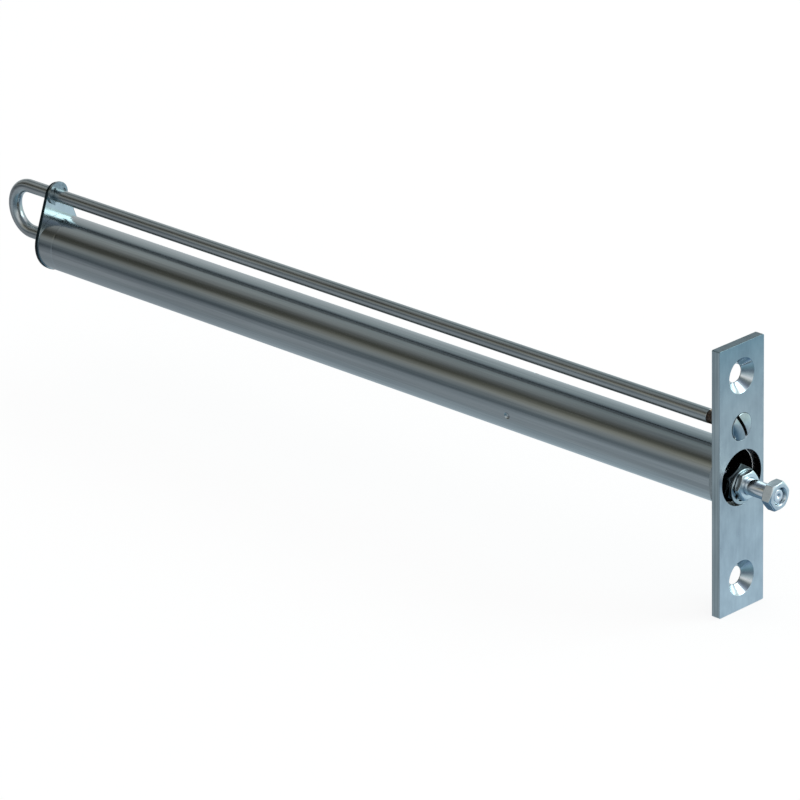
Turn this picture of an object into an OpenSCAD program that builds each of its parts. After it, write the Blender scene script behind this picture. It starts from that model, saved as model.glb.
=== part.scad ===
// Tubular door closer, in millimetres.
// X runs forward along the tube's axis, out of the door's edge, and Z is up.
// X = 0 is the rear face of the fixing plate, the face that rests on the door's edge.

/* [Fixing plate] */
// How far the plate stands out past the tube on each side
plate_margin = 0.5; // [0.3:0.1:7]
// Height of the plate
plate_h = 134; // [124:1:180]
// Thickness of the plate
plate_t = 4.8; // [4.5:0.1:8]
// Diameter of the hole that the piston rod comes out of
mouth_d = 27.5; // [27:0.1:29]
// Distance between the two screw holes
screw_spacing = 102; // [98:1:112]
// Diameter of the screw holes
screw_d = 9; // [8.5:0.1:10]
// Diameter of the screw holes' countersinks at the front face
countersink_d = 17.5; // [15:0.1:18]

/* [Tube] */
// Outer diameter of the tube
tube_d = 30; // [29:0.1:30.5]
// Wall of the tube
tube_wall = 2; // [1.5:0.1:2.4]
// Length of the tube
tube_l = 468; // [420:1:600]
// Distance of the guide bush behind the fixing plate
bush_setback = 123; // [60:1:130]
// Thickness of the end plate
end_plate_t = 2; // [1.5:0.1:4]

/* [Piston rod] */
// Diameter of the piston rod
rod_d = 10; // [9:0.1:10.5]
// Distance of the piston rod below the tube's axis
rod_drop = 3; // [2.5:0.1:3.2]
// Diameter of the stud at the rod's front end
stud_d = 8; // [7:0.1:8.4]
// Length of the stud's neck between its two nuts
neck_l = 12.7; // [10:0.1:25]
// Width across the flats of the two nuts on the stud
stud_nut_af = 13; // [12:0.1:14]
// Thickness of the nut on the stud's outer end
end_nut_t = 5.8; // [5:0.1:8]
// Thickness of the thin nut behind the neck
thin_nut_t = 3.6; // [3:0.1:5]
// Width across the flats of the nut on the rod's end
rod_nut_af = 17; // [15:0.1:17.2]
// Thickness of the nut on the rod's end
rod_nut_t = 5; // [4:0.1:8]

/* [Main spring] */
// Diameter of the spring's wire
spring_wire = 2.8; // [2.2:0.1:3]
// Rough distance from turn to turn
spring_pitch = 9.3; // [7.5:0.1:12]

/* [Adjusting bow] */
// Diameter of the bow's rod
bow_d = 7; // [6:0.1:8]
// Height of the bow's long leg above the tube's axis
bow_height = 25.5; // [25:0.1:30]
// Distance from the end plate to the end of the bow's bend
bow_reach = 35.2; // [30:0.1:60]
// How far the slotted nut can draw the bow forward
adjust_travel = 5; // [3:0.1:5.2]
// Diameter of the slotted nut's head
slot_nut_d = 13.4; // [13:0.1:15]
// Width of the slot in the nut's head
slot_w = 1.5; // [1:0.1:2]
// Direction of the slot, from +Y towards +Z
slot_angle = 118; // [0:1:180]

/* [Hidden] */

$fn = 96;
fit_gap = 0.04; // between a piece and the bore that it sits in
run_gap = 0.08; // between a piece that moves and its bore
clear = 0.3; // between pieces that pass each other
eps = 0.01; // overlap of two shapes of one piece
past = 1; // how far a cutting shape passes the face that it cuts

// Colours of the finishes
zinc = [0.66, 0.70, 0.73];
bright_steel = [0.62, 0.64, 0.65];
grey_steel = [0.36, 0.37, 0.38];
brass = [0.76, 0.62, 0.34];
black_rubber = [0.08, 0.08, 0.08];

// Fixing plate
plate_w = tube_d + 2 * plate_margin;
plate_corner_r = 0.6;
screw_cone = (countersink_d - screw_d) / 2;
weld_leg = 1.5;

// Tube and the two places where its wall is pushed in
tube_r = tube_d / 2;
bore_r = tube_r - tube_wall;
tube_end = -tube_l;
crimp_setback = 10.6;
crimp_x = tube_end + crimp_setback;
crimp_w = 0.8;
crimp_slope = 0.4;
crimp_depth = 0.3;
crimp_ridge = 0.5;
dimple_angle = 187;
dimple_count = 3;
dimple_r = 2.2;
dimple_centre_r = tube_r + 1.3;
bump_r = 2.6;
bump_centre_r = tube_r - 0.4;

// Guide bush and spring seat
bush_l = 16;
bush_front = -bush_setback;
bush_rear = bush_front - bush_l;
bush_mid = (bush_front + bush_rear) / 2;
bush_groove_w = 4.6;
bush_groove_r = bump_centre_r - bump_r - clear;
seat_t = 1.5;
seat_rear = bush_rear - seat_t;
seat_bore_r = rod_d / 2 + rod_drop + 1;

// End plate and end plug
end_plate_rear = tube_end - end_plate_t;
end_plate_r = tube_r + 0.6;
end_plate_tip_r = bow_d / 2 + 3.3;
spigot_r = 6.2;
peen_t = 1;
peen_r = 7;
plug_l = 26;
plug_front = tube_end + plug_l;
plug_r = bore_r - fit_gap;
plug_groove_w = crimp_w + 2 * crimp_slope + 1;
plug_groove_r = bore_r - crimp_ridge - clear;
seal_setback = 6.5;
seal_x = plug_front - seal_setback;
seal_r = 1.05;
seal_groove_w = 2.5;
seal_groove_r = plug_r - 2 * seal_r - fit_gap;
leg_bore_r = bow_d / 2 + clear;
leg_bore_l = 16;
leg_bore_front = tube_end + leg_bore_l;
orifice_r = 0.8;
orifice_l = 2;
orifice_rear = plug_front - orifice_l;
bumper_r = 9;
bumper_hole_r = 3;
bumper_t = 3.5;
bumper_recess = 1;

// Piston and what is screwed against it
piston_l = 10;
piston_gap = 12.8; // room behind the piston for its nut and seal
piston_rear = plug_front + piston_gap;
piston_front = piston_rear + piston_l;
piston_r = bore_r - run_gap;
cup_base_t = 2;
cup_l = 9;
cup_wall = 1.5;
retainer_t = 1.5;
retainer_r = 7.2;
spigot_d = 8;
piston_nut_af = 13;
piston_nut_t = 4;
piston_nut_front = piston_rear - cup_base_t - retainer_t;
piston_nut_rear = piston_nut_front - piston_nut_t;
spigot_end = piston_nut_rear - 1;

// Pieces on the rod's front end
rod_front = plate_t + 0.4;
tail_d = stud_d - 2;
tail_l = 15;
washer_t = 1;
washer_r = 8.65;
washer_bore_r = stud_d / 2 + 1.2;
washer_z = -rod_drop - (washer_bore_r - stud_d / 2 - fit_gap);
tooth_count = 10;
tooth_gap_w = 1.5;
tooth_gap_r = 7.3;
thin_nut_rear = rod_front + washer_t;
thin_nut_front = thin_nut_rear + thin_nut_t;
end_nut_rear = thin_nut_front + neck_l;
end_nut_front = end_nut_rear + end_nut_t;
stud_recess = 1;
stud_front = end_nut_front - stud_recess;
stud_tip_slope = 0.7;
rod_nut_corner = 88;
thin_nut_corner = 64;
end_nut_corner = 66;
nut_slope = 30; // of the turned corners of a nut
nut_margin = 0.05; // of the turned outline past a nut's corners
bore_slope = 0.5; // of the edge of a nut's thread

// Springs
main_spring_r = bore_r - 1 - spring_wire / 2;
main_spring_turns = floor((seat_rear - piston_front) / spring_pitch);
coil_rings = 10;
coil_sides = 6;
needle_wire = 0.6;
needle_spring_r = bow_d / 2 - needle_wire / 2;
needle_spring_turns = 6;

// Adjusting bow and valve needle
bend_r = bow_height / 2;
bend_x = end_plate_rear - bow_reach + bend_r + bow_d / 2;
leg_in_plug = 2;
leg_front = tube_end + leg_in_plug;
clip_t = 1.3;
clip_r = bow_d / 2 + 2.9;
clip_rise = 1.1;
clip_groove_depth = 0.5;
clip_groove_w = clip_t + 2 * fit_gap;
clip_groove_r = bow_d / 2 - clip_groove_depth;
clip_opening = 2 * clip_groove_r - 0.8;
thread_d = bow_d - 0.1;
thread_setback = 14.5;
thread_rear = -thread_setback;
thread_slope = 0.6;
needle_head_t = 1.5;
needle_head_front = leg_front + needle_head_t;
needle_r = 1.2;
needle_tip_r = 0.4;
needle_tip_l = 3;
needle_front = orifice_rear - adjust_travel + 0.4;

// Slotted nut
slot_nut_r = slot_nut_d / 2;
seat_mouth_r = slot_nut_r + 0.2;
shank_r = 4.9;
shank_l = 7;
shank_rear = -shank_l;
seat_bore = shank_r + run_gap;
dome_h = 1.5;
dome_rim = 0.2;
dome_rise = dome_h - dome_rim;
dome_r = (slot_nut_r * slot_nut_r + dome_rise * dome_rise) / (2 * dome_rise);
slot_depth = 1.9;
thread_wall = 1;
nut_bore_front = plate_t + dome_h - slot_depth - thread_wall;
bow_tip = nut_bore_front - adjust_travel - 0.4;

// A round bar along X from x0 to x1, at height z
module bar(x0, x1, r, z = 0) {
    translate([x0, 0, z]) rotate([0, 90, 0]) cylinder(h = x1 - x0, r = r);
}

// A cone along X from radius r0 at x0 to radius r1 at x1
module cone(x0, x1, r0, r1, z = 0) {
    translate([x0, 0, z]) rotate([0, 90, 0]) cylinder(h = x1 - x0, r1 = r0, r2 = r1);
}

// A flat ring along X
module ring(x0, x1, r_out, r_in, z_out = 0, z_in = 0) {
    difference() {
        bar(x0, x1, r_out, z_out);
        bar(x0 - past, x1 + past, r_in, z_in);
    }
}

// A six-sided bar along X with a corner towards the angle, measured from +Y towards +Z
module hex_bar(x0, x1, af, corner, z = 0) {
    translate([x0, 0, z]) rotate([corner, 0, 0]) rotate([0, 90, 0]) rotate([0, 0, 90])
        cylinder(h = x1 - x0, r = af / 2 / cos(30), $fn = 6);
}

// A nut with turned corners and a bevelled thread
module hex_nut(x0, x1, af, corner, bore, z = 0) {
    corner_r = af / 2 / cos(30) + nut_margin;
    face_r = af / 2 * 0.96;
    slope_l = (corner_r - face_r) * tan(nut_slope);
    difference() {
        intersection() {
            hex_bar(x0, x1, af, corner, z);
            translate([0, 0, z]) turned([
                [0, x0],
                [face_r, x0],
                [corner_r, x0 + slope_l],
                [corner_r, x1 - slope_l],
                [face_r, x1],
                [0, x1]
            ]);
        }
        bar(x0 - past, x1 + past, bore, z);
        cone(x1 - bore_slope, x1 + bore_slope, bore - bore_slope / 2, bore + 1.5 * bore_slope, z);
    }
}

// An outline of points [r, x] turned about the X axis
module turned(points) {
    rotate([0, 90, 0]) rotate_extrude() polygon(points);
}

// The points round the wire of a coil about the X axis, a ring of them at every step
function coil_point(x0, x1, turns, r, wire_r, step, side) =
    let (
        steps = turns * coil_rings,
        angle = 360 * step / coil_rings,
        x = x0 + (x1 - x0) * step / steps,
        rise = (x1 - x0) / turns / 2 / PI,
        run = sqrt(r * r + rise * rise),
        b = 360 * side / coil_sides,
        out = wire_r * cos(b),
        across = wire_r * sin(b)
    )
    [
        x + across * r / run,
        (r + out) * cos(angle) + across * rise / run * sin(angle),
        (r + out) * sin(angle) - across * rise / run * cos(angle)
    ];

// A wire wound about the X axis from x0 to x1
module coil(x0, x1, turns, r, wire_r) {
    steps = turns * coil_rings;
    last = steps * coil_sides;
    points = [
        for (step = [0:steps], side = [0:coil_sides - 1])
            coil_point(x0, x1, turns, r, wire_r, step, side)
    ];
    walls = [
        for (step = [0:steps - 1], side = [0:coil_sides - 1])
            let (
                a = step * coil_sides + side,
                b = step * coil_sides + (side + 1) % coil_sides,
                c = a + coil_sides,
                d = b + coil_sides
            )
            each [[a, b, d], [a, d, c]]
    ];
    caps = [
        for (side = [1:coil_sides - 2])
            each [[0, side + 1, side], [last, last + side, last + side + 1]]
    ];
    polyhedron(points = points, faces = concat(walls, caps));
}

module fixing_plate() {
    color(zinc) difference() {
        rotate([90, 0, 90]) linear_extrude(plate_t) plate_outline();
        bar(-past, plate_t + past, mouth_d / 2);
        for (side = [-1, 1]) {
            bar(-past, plate_t + past, screw_d / 2, side * screw_spacing / 2);
            cone(plate_t - screw_cone, plate_t + past, screw_d / 2,
                countersink_d / 2 + past, side * screw_spacing / 2);
        }
        bar(-past, plate_t + past, seat_bore, bow_height);
        cone(plate_t - (seat_mouth_r - seat_bore), plate_t + past, seat_bore,
            seat_mouth_r + past, bow_height);
    }
}

module plate_outline() {
    inner_w = plate_w - 2 * plate_corner_r;
    inner_h = plate_h - 2 * plate_corner_r;
    square([plate_w, inner_h], center = true);
    square([inner_w, plate_h], center = true);
    for (y = [-1, 1], z = [-1, 1])
        translate([y * inner_w / 2, z * inner_h / 2]) circle(plate_corner_r);
}

// The bead stops at the plate's edges, where the tube is nearly as wide as the plate
module plate_weld() {
    color(grey_steel) intersection() {
        turned([[tube_r, 0], [tube_r + weld_leg, 0], [tube_r, -weld_leg]]);
        translate([-weld_leg - past, -plate_w / 2, -plate_h / 2])
            cube([weld_leg + 2 * past, plate_w, plate_h]);
    }
}

module cylinder_tube() {
    half = crimp_w / 2;
    color(zinc) difference() {
        union() {
            turned([
                [tube_r, tube_end],
                [tube_r, crimp_x - half - crimp_slope],
                [tube_r - crimp_depth, crimp_x - half],
                [tube_r - crimp_depth, crimp_x + half],
                [tube_r, crimp_x + half + crimp_slope],
                [tube_r, 0],
                [bore_r, 0],
                [bore_r, crimp_x + half + crimp_slope],
                [bore_r - crimp_ridge, crimp_x + half],
                [bore_r - crimp_ridge, crimp_x - half],
                [bore_r, crimp_x - half - crimp_slope],
                [bore_r, tube_end]
            ]);
            intersection() {
                bar(bush_rear, bush_front, tube_r - tube_wall / 2);
                at_dimples(bump_centre_r) sphere(bump_r);
            }
        }
        at_dimples(dimple_centre_r) sphere(dimple_r);
    }
}

module at_dimples(r) {
    for (i = [0:dimple_count - 1])
        rotate([dimple_angle + i * 360 / dimple_count, 0, 0])
            translate([bush_mid, r, 0]) children();
}

// A round end about the tube and a smaller one about the bow, joined by straight sides
module end_plate() {
    lean = acos((end_plate_r - end_plate_tip_r) / bow_height);
    side_y = sin(lean);
    side_z = cos(lean);
    color(zinc) difference() {
        union() {
            bar(end_plate_rear, tube_end, end_plate_r);
            bar(end_plate_rear, tube_end, end_plate_tip_r, bow_height);
            translate([end_plate_rear, 0, 0]) rotate([90, 0, 90]) linear_extrude(end_plate_t)
                polygon([
                    [end_plate_r * side_y, end_plate_r * side_z],
                    [end_plate_tip_r * side_y, bow_height + end_plate_tip_r * side_z],
                    [-end_plate_tip_r * side_y, bow_height + end_plate_tip_r * side_z],
                    [-end_plate_r * side_y, end_plate_r * side_z]
                ]);
        }
        bar(end_plate_rear - past, tube_end + past, bow_d / 2 + run_gap, bow_height);
        bar(end_plate_rear - past, tube_end + past, spigot_r + fit_gap);
    }
}

module end_plug() {
    half_crimp = plug_groove_w / 2;
    half_seal = seal_groove_w / 2;
    color(brass) difference() {
        turned([
            [0, end_plate_rear - peen_t],
            [spigot_r, end_plate_rear - peen_t],
            [peen_r, end_plate_rear],
            [spigot_r, end_plate_rear],
            [spigot_r, tube_end],
            [plug_r, tube_end],
            [plug_r, crimp_x - half_crimp],
            [plug_groove_r, crimp_x - half_crimp],
            [plug_groove_r, crimp_x + half_crimp],
            [plug_r, crimp_x + half_crimp],
            [plug_r, seal_x - half_seal],
            [seal_groove_r, seal_x - half_seal],
            [seal_groove_r, seal_x + half_seal],
            [plug_r, seal_x + half_seal],
            [plug_r, plug_front],
            [0, plug_front]
        ]);
        bar(end_plate_rear - peen_t - past, leg_bore_front, leg_bore_r);
        bar(leg_bore_front - past, orifice_rear, needle_r + run_gap);
        bar(orifice_rear - past, plug_front + past, orifice_r);
        bar(plug_front - bumper_recess, plug_front + past, bumper_r + fit_gap);
    }
}

module plug_seal() {
    color(black_rubber) translate([seal_x, 0, 0]) rotate([0, 90, 0]) rotate_extrude()
        translate([plug_r - seal_r, 0]) circle(seal_r);
}

module end_bumper() {
    bumper_rear = plug_front - bumper_recess;
    color(black_rubber)
        ring(bumper_rear, bumper_rear + bumper_t, bumper_r, bumper_hole_r);
}

// The dimples in the tube's wall stand in the groove round the bush
module guide_bush() {
    half = bush_groove_w / 2;
    color(brass) difference() {
        turned([
            [0, bush_rear],
            [bore_r - fit_gap, bush_rear],
            [bore_r - fit_gap, bush_mid - half],
            [bush_groove_r, bush_mid - half],
            [bush_groove_r, bush_mid + half],
            [bore_r - fit_gap, bush_mid + half],
            [bore_r - fit_gap, bush_front],
            [0, bush_front]
        ]);
        bar(bush_rear - past, bush_front + past, rod_d / 2 + run_gap, -rod_drop);
    }
}

module spring_seat() {
    color(grey_steel) ring(seat_rear, bush_rear, bore_r - clear, seat_bore_r);
}

module main_spring() {
    end = spring_wire / 2 + fit_gap;
    color(grey_steel)
        coil(piston_front + end, seat_rear - end, main_spring_turns, main_spring_r,
            spring_wire / 2);
}

// The rod steps down behind the piston and is tapped for the stud at its front end
module piston_rod() {
    color(bright_steel) difference() {
        union() {
            bar(piston_front, rod_front, rod_d / 2, -rod_drop);
            bar(spigot_end, piston_front + eps, spigot_d / 2, -rod_drop);
        }
        bar(rod_front - tail_l - clear, rod_front + past, tail_d / 2 + fit_gap, -rod_drop);
    }
}

module piston() {
    color(brass)
        ring(piston_rear, piston_front, piston_r, spigot_d / 2 + fit_gap, 0, -rod_drop);
}

module cup_seal() {
    cup_rear = piston_rear - cup_l;
    color(black_rubber) difference() {
        bar(cup_rear, piston_rear, piston_r);
        bar(cup_rear - past, piston_rear - cup_base_t, piston_r - cup_wall);
        bar(cup_rear, piston_rear + past, spigot_d / 2 + fit_gap, -rod_drop);
    }
}

module seal_retainer() {
    front = piston_rear - cup_base_t;
    color(grey_steel)
        ring(front - retainer_t, front, retainer_r, spigot_d / 2 + fit_gap, -rod_drop,
            -rod_drop);
}

module piston_nut() {
    color(zinc)
        hex_nut(piston_nut_rear, piston_nut_front, piston_nut_af, rod_nut_corner,
            spigot_d / 2 + fit_gap, -rod_drop);
}

module link_stud() {
    r = stud_d / 2;
    color(bright_steel) union() {
        bar(rod_front - tail_l, rod_front + eps, tail_d / 2, -rod_drop);
        bar(rod_front, stud_front - stud_tip_slope, r, -rod_drop);
        cone(stud_front - stud_tip_slope - eps, stud_front, r, r - stud_tip_slope, -rod_drop);
    }
}

module rod_nut() {
    color(zinc)
        hex_nut(rod_front - rod_nut_t, rod_front, rod_nut_af, rod_nut_corner,
            rod_d / 2 + fit_gap, -rod_drop);
}

// The washer's bore is larger than the stud, so the washer hangs on it
module tooth_washer() {
    color(zinc) translate([rod_front, 0, washer_z]) rotate([0, 90, 0])
        linear_extrude(washer_t) difference() {
            circle(washer_r);
            circle(washer_bore_r);
            for (i = [0:tooth_count - 1])
                rotate(360 * i / tooth_count) translate([0, -tooth_gap_w / 2])
                    square([tooth_gap_r, tooth_gap_w]);
        }
}

module thin_nut() {
    color(zinc)
        hex_nut(thin_nut_rear, thin_nut_front, stud_nut_af, thin_nut_corner,
            stud_d / 2 + fit_gap, -rod_drop);
}

module end_nut() {
    color(zinc)
        hex_nut(end_nut_rear, end_nut_front, stud_nut_af, end_nut_corner,
            stud_d / 2 + fit_gap, -rod_drop);
}

// One rod: a threaded front end, a long leg, the bend and a short leg on the tube's axis
module adjusting_bow() {
    color(grey_steel) difference() {
        union() {
            cone(bow_tip - thread_slope, bow_tip, thread_d / 2, thread_d / 2 - thread_slope,
                bow_height);
            bar(thread_rear, bow_tip - thread_slope, thread_d / 2, bow_height);
            bar(bend_x, thread_rear, bow_d / 2, bow_height);
            translate([bend_x, 0, bend_r]) rotate([0, -90, 0]) rotate([90, 0, 0])
                rotate_extrude(angle = 180) translate([bend_r, 0]) circle(bow_d / 2);
            bar(bend_x, leg_front, bow_d / 2);
        }
        ring(tube_end, tube_end + clip_groove_w, bow_d / 2 + past, clip_groove_r,
            bow_height, bow_height);
    }
}

// An open clip, pushed from above into the bow's groove, stops the bow at the end plate
module bow_clip() {
    rear = tube_end + fit_gap;
    color(zinc) difference() {
        bar(rear, rear + clip_t, clip_r, bow_height + clip_rise);
        bar(rear - past, rear + clip_t + past, clip_groove_r + fit_gap, bow_height);
        translate([rear - past, -clip_opening / 2, bow_height - clip_r - past])
            cube([clip_t + 2 * past, clip_opening, clip_r + past]);
    }
}

module valve_needle() {
    color(brass) union() {
        bar(leg_front, needle_head_front, bow_d / 2 - eps);
        bar(leg_front, needle_front - needle_tip_l, needle_r);
        cone(needle_front - needle_tip_l, needle_front, needle_r, needle_tip_r);
    }
}

module needle_spring() {
    end = needle_wire / 2 + fit_gap;
    color(grey_steel)
        coil(needle_head_front + end, leg_bore_front - end, needle_spring_turns,
            needle_spring_r, needle_wire / 2);
}

// A sleeve nut: its countersunk head turns in the plate, its blind thread draws the bow
module adjusting_nut() {
    cone_rear = plate_t - (slot_nut_r - shank_r);
    color(bright_steel) difference() {
        union() {
            bar(shank_rear, cone_rear, shank_r, bow_height);
            cone(cone_rear, plate_t, shank_r, slot_nut_r, bow_height);
            intersection() {
                translate([plate_t + dome_h - dome_r, 0, bow_height]) sphere(dome_r);
                bar(plate_t, plate_t + dome_h + past, slot_nut_r, bow_height);
            }
        }
        bar(shank_rear - past, nut_bore_front, thread_d / 2 + run_gap, bow_height);
        translate([plate_t + dome_h - slot_depth, 0, bow_height]) rotate([slot_angle, 0, 0])
            translate([0, -slot_nut_d, -slot_w / 2])
                cube([slot_depth + past, 2 * slot_nut_d, slot_w]);
    }
}

fixing_plate();
plate_weld();
cylinder_tube();
end_plate();
end_plug();
plug_seal();
end_bumper();
guide_bush();
spring_seat();
main_spring();
piston_rod();
piston();
cup_seal();
seal_retainer();
piston_nut();
link_stud();
rod_nut();
tooth_washer();
thin_nut();
end_nut();
adjusting_bow();
bow_clip();
valve_needle();
needle_spring();
adjusting_nut();
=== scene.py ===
import math

import bpy
from mathutils import Matrix, Vector


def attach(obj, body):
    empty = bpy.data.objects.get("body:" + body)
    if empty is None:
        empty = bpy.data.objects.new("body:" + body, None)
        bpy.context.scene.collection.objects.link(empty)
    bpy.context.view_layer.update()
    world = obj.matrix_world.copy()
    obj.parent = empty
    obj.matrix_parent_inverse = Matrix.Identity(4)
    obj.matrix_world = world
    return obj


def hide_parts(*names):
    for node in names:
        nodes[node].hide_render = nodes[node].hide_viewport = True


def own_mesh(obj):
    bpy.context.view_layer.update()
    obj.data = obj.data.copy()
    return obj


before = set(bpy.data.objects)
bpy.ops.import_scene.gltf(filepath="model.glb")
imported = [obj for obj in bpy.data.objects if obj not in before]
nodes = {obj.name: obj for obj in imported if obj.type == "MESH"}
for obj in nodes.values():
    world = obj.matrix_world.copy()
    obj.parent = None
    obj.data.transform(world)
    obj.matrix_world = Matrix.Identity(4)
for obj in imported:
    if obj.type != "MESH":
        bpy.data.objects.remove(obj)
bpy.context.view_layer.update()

mm = 0.001
sidesRound = 96  # sides of a round shape that has no number of its own
past = 1  # how far a cutting shape passes the face that it cuts, in mm
slack = 0.1  # how far off a place, in mm, what is picked by its place may lie
squareOn = 0.9  # the share of a face's normal along an axis from which the face looks that way


def deselectAll():
    for piece in bpy.context.selected_objects:
        piece.select_set(False)


def makeActive(piece):
    deselectAll()
    piece.select_set(True)
    bpy.context.view_layer.objects.active = piece


def startEdit(piece, kind="VERT"):
    makeActive(piece)
    modes = ("VERT", "EDGE", "FACE")
    bpy.context.tool_settings.mesh_select_mode = [kind == mode for mode in modes]
    bpy.ops.object.mode_set(mode="EDIT")


def endEdit():
    bpy.ops.object.mode_set(mode="OBJECT")


def pickNothing(mesh):
    for part in (mesh.vertices, mesh.edges, mesh.polygons):
        for item in part:
            item.select = False


def selectFaces(piece, test):
    # picks the faces whose centre (mm) and normal pass the test, from object mode
    pickNothing(piece.data)
    for face in piece.data.polygons:
        face.select = test(face.center / mm, face.normal)


def selectEdges(piece, test):
    # picks the edges whose two ends (mm) pass the test, from object mode
    mesh = piece.data
    pickNothing(mesh)
    for edge in mesh.edges:
        edge.select = test(*(mesh.vertices[i].co / mm for i in edge.vertices))


def applyPlace(piece):
    makeActive(piece)
    bpy.ops.object.transform_apply(location=True, rotation=True, scale=True)


def applyModifier(piece, modifier):
    makeActive(piece)
    bpy.ops.object.modifier_apply(modifier=modifier.name)


def faceOutwards(piece):
    startEdit(piece)
    bpy.ops.mesh.select_all(action="SELECT")
    bpy.ops.mesh.remove_doubles(threshold=0.002 * mm)
    bpy.ops.mesh.normals_make_consistent(inside=False)
    endEdit()


def named(name):
    piece = bpy.context.object
    piece.name = name
    piece.data.name = name
    return piece


def turnPiece(name, outline, height=0, sides=sidesRound, closed=False):
    # turns an outline of (x, radius) pairs, in mm, about a line along X at a height
    x, radius = outline[0]
    deselectAll()
    bpy.ops.mesh.primitive_circle_add(
        vertices=sides, radius=radius * mm, fill_type="NOTHING",
        location=(x * mm, 0, height * mm), rotation=(0, math.pi / 2, 0))
    piece = named(name)
    applyPlace(piece)
    startEdit(piece, "EDGE")
    bpy.ops.mesh.select_all(action="SELECT")
    for nextX, nextRadius in outline[1:]:
        bpy.ops.mesh.extrude_region_move(
            TRANSFORM_OT_translate={"value": ((nextX - x) * mm, 0, 0)})
        if abs(nextRadius - radius) > 1e-6:
            scale = nextRadius / radius
            bpy.ops.transform.resize(
                value=(1, scale, scale), center_override=(nextX * mm, 0, height * mm))
        x, radius = nextX, nextRadius
    if not closed:
        bpy.ops.mesh.select_all(action="SELECT")
        bpy.ops.mesh.fill_holes(sides=0)
    endEdit()
    faceOutwards(piece)
    return piece


def soften(outline, size, closed=False):
    # rounds the outline's corners by a small size, in mm, but not its slight bends
    points = [Vector(p) for p in outline]
    if closed and (points[0] - points[-1]).length < 1e-6:
        points = points[:-1]
    made = []
    count = len(points)
    for i, point in enumerate(points):
        if not closed and i in (0, count - 1):
            made.append(tuple(point))
            continue
        before, after = points[i - 1], points[(i + 1) % count]
        back, on = before - point, after - point
        turn = math.pi - back.angle(on)
        if turn < math.radians(20):
            made.append(tuple(point))
            continue
        reach = min(size, 0.45 * back.length, 0.45 * on.length)
        a, b = point + back.normalized() * reach, point + on.normalized() * reach
        for share in (0, 0.33, 0.67, 1):
            made.append(tuple(a.lerp(point, share).lerp(point.lerp(b, share), share)))
    if closed:
        made.append(made[0])
    return made


def hexBar(name, x0, x1, flats, corner, height):
    # a six-sided bar along X with a corner at an angle from +Y towards +Z
    turn = Matrix.Rotation(math.radians(corner), 3, "X") @ Matrix.Rotation(math.pi / 2, 3, "Y")
    deselectAll()
    bpy.ops.mesh.primitive_cylinder_add(
        vertices=6, radius=flats / math.sqrt(3) * mm, depth=(x1 - x0) * mm,
        location=((x0 + x1) / 2 * mm, 0, height * mm), rotation=turn.to_euler())
    piece = named(name)
    applyPlace(piece)
    return piece


def cubePiece(name, centre, size, rotation=(0, 0, 0)):
    deselectAll()
    bpy.ops.mesh.primitive_cube_add(
        size=1, location=[v * mm for v in centre], rotation=rotation)
    piece = named(name)
    piece.scale = [v * mm for v in size]
    applyPlace(piece)
    return piece


def combine(piece, tool, how="DIFFERENCE"):
    modifier = piece.modifiers.new("cut", "BOOLEAN")
    modifier.operation = how
    modifier.solver = "EXACT"
    modifier.object = tool
    applyModifier(piece, modifier)
    bpy.data.objects.remove(tool)


def joinPieces(pieces):
    makeActive(pieces[0])
    for piece in pieces[1:]:
        piece.select_set(True)
    bpy.ops.object.join()
    return pieces[0]


def bevelEdges(piece, width, segments=3, angle=40):
    modifier = piece.modifiers.new("edges", "BEVEL")
    modifier.width = width * mm
    modifier.segments = segments
    modifier.limit_method = "ANGLE"
    modifier.angle_limit = math.radians(angle)
    applyModifier(piece, modifier)


def smoothShade(piece, angle=32):
    # the weighted normals keep large flat faces flat beside their small rounded edges
    makeActive(piece)
    bpy.ops.object.shade_smooth_by_angle(angle=math.radians(angle))
    modifier = piece.modifiers.new("normals", "WEIGHTED_NORMAL")
    modifier.keep_sharp = True
    applyModifier(piece, modifier)


def finishPiece(piece, body, replaced, material, angle=32):
    smoothShade(piece, angle)
    piece.data.materials.clear()
    piece.data.materials.append(material)
    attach(piece, body)
    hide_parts(*replaced)


def fromAxis(centre):
    # a point's distance from the tube's axis
    return math.hypot(centre.y, centre.z)


def addFinish(piece, material, test):
    # gives the faces whose centre (mm) and normal pass the test a finish of their own
    piece.data.materials.append(material)
    last = len(piece.data.materials) - 1
    for face in piece.data.polygons:
        if test(face.center / mm, face.normal):
            face.material_index = last


def linear(hexColour):
    parts = [int(hexColour[i:i + 2], 16) / 255 for i in (1, 3, 5)]
    return tuple(c / 12.92 if c <= 0.04045 else ((c + 0.055) / 1.055) ** 2.4
                 for c in parts) + (1,)


def addNode(tree, kind, values=None, links=None, **settings):
    node = tree.nodes.new(kind)
    for key, value in settings.items():
        setattr(node, key, value)
    for socket, value in (values or {}).items():
        node.inputs[socket].default_value = value
    for socket, source in (links or {}).items():
        tree.links.new(source, node.inputs[socket])
    return node


def newTree(name):
    material = bpy.data.materials.new(name)
    material.use_nodes = True
    tree = material.node_tree
    tree.nodes.clear()
    return material, tree


def fillRamp(node, stops):
    ramp = node.color_ramp
    while len(ramp.elements) > 1:
        ramp.elements.remove(ramp.elements[-1])
    ramp.elements[0].position = stops[0][0]
    ramp.elements[0].color = linear(stops[0][1])
    for place, colour in stops[1:]:
        ramp.elements.new(place).color = linear(colour)


def perMetre(size):
    # noise scale for a spot size in mm
    return 1000 / size


noStretch = (1, 1, 1)


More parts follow.
